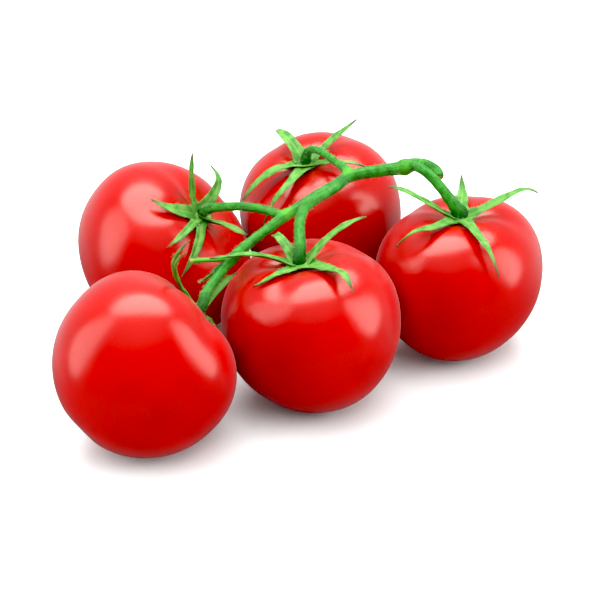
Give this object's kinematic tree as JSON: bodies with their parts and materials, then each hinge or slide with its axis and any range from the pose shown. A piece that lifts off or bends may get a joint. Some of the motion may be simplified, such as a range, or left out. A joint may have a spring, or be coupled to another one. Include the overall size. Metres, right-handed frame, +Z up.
{
  "type": "truss of tomatoes",
  "caption": "Ripe vine tomatoes resting together on the green branched stem they grew on, each with a star of pointed sepals.",
  "frame": {"origin": "on the surface that the truss lies on, under the middle of its bounding box", "axes": "+Z up; +X along the length of the truss, towards the fruit next to the stem's cut end; the front fruits are on the -Y side"},
  "size_m": [0.1751, 0.1644, 0.0781],
  "materials": {
    "skin": "smooth glossy red tomato skin",
    "sepals": "matte light green leaf",
    "stem": "matte green stem with fine hairs"
  },
  "bodies": {
    "root": {"vine_stem": "stem", "tomato_front_left": "skin", "tomato_front_middle": "skin", "tomato_right": "skin", "tomato_back_middle": "skin", "tomato_back_left": "skin", "calyx_front_left": "sepals", "calyx_front_middle": "sepals", "calyx_right": "sepals", "calyx_back_middle": "sepals", "calyx_back_left": "sepals"}
  },
  "joints": []
}
